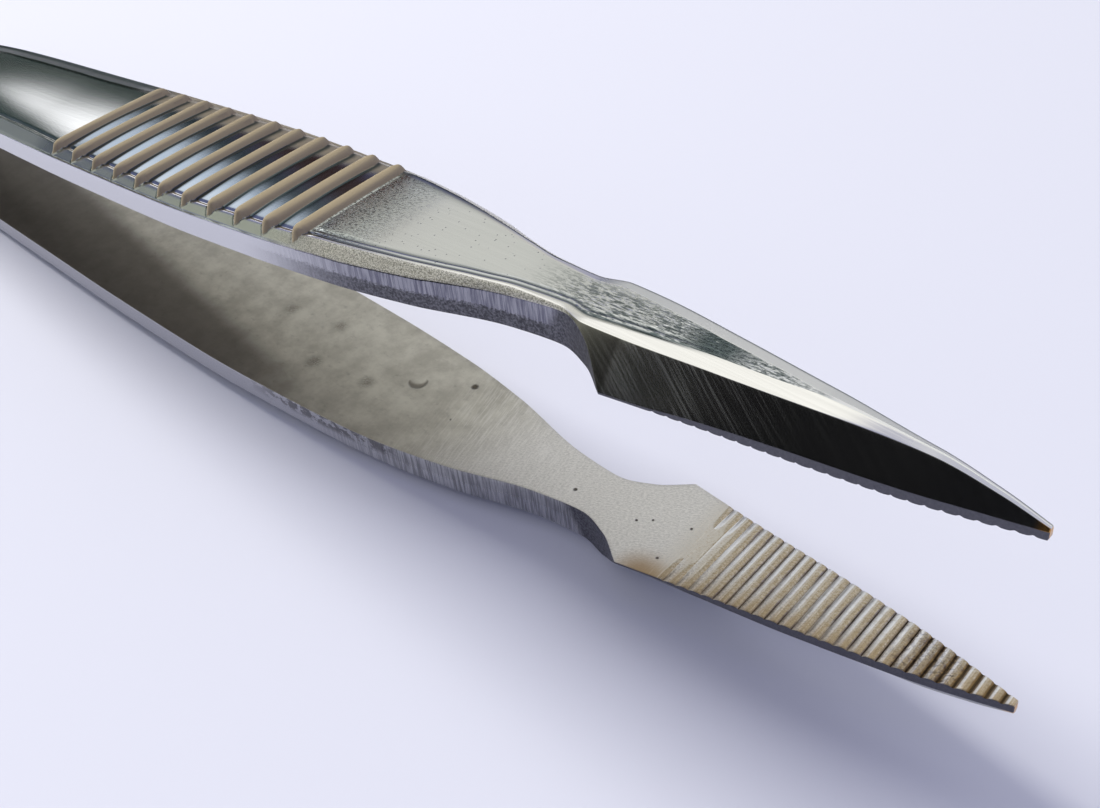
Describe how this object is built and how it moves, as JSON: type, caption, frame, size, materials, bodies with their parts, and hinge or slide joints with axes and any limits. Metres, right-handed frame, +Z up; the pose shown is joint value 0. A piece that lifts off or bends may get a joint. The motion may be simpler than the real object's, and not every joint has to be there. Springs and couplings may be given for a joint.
{
  "type": "precision tweezers",
  "caption": "Steel splinter-style tweezers: two sprung stamped blades welded at the tail, with raised grip ribs, narrow necks and tapered serrated jaws.",
  "frame": {"origin": "on the table under the middle of the bounding box, with the tweezers lying on the lower blade's first and last rib, as they lie when put down", "axes": "+X towards the jaw tips, +Y across the blades, +Z up from the lower blade to the upper one; the plane half-way between the blades rises 3.69 degrees towards +X"},
  "size_m": [0.1152, 0.01, 0.017],
  "materials": {
    "blade_steel": "stamped stainless steel: polished outside, satin inside, ground edges",
    "weld_steel": "weld metal ground round"
  },
  "bodies": {
    "tail": {"upper_heel": "blade_steel", "lower_heel": "blade_steel", "tail_weld": "weld_steel"},
    "upper_blade": {"upper_blade": "blade_steel"},
    "lower_blade": {"lower_blade": "blade_steel"}
  },
  "joints": [
    {"name": "upper_squeeze", "type": "hinge", "parent": "tail", "child": "upper_blade", "pos_m": [-0.03181, 0, 0.00774], "axis": [0, 1, 0], "range_deg": [0, 3.25], "stiffness_Nm_per_rad": 2},
    {"name": "lower_squeeze", "type": "hinge", "parent": "tail", "child": "lower_blade", "pos_m": [-0.03138, 0, 0.00111], "axis": [0, -1, 0], "range_deg": [0, 3.25], "stiffness_Nm_per_rad": 2}
  ],
  "couplings": [
    {"joint": "lower_squeeze", "follows": "upper_squeeze", "ratio": 1}
  ]
}
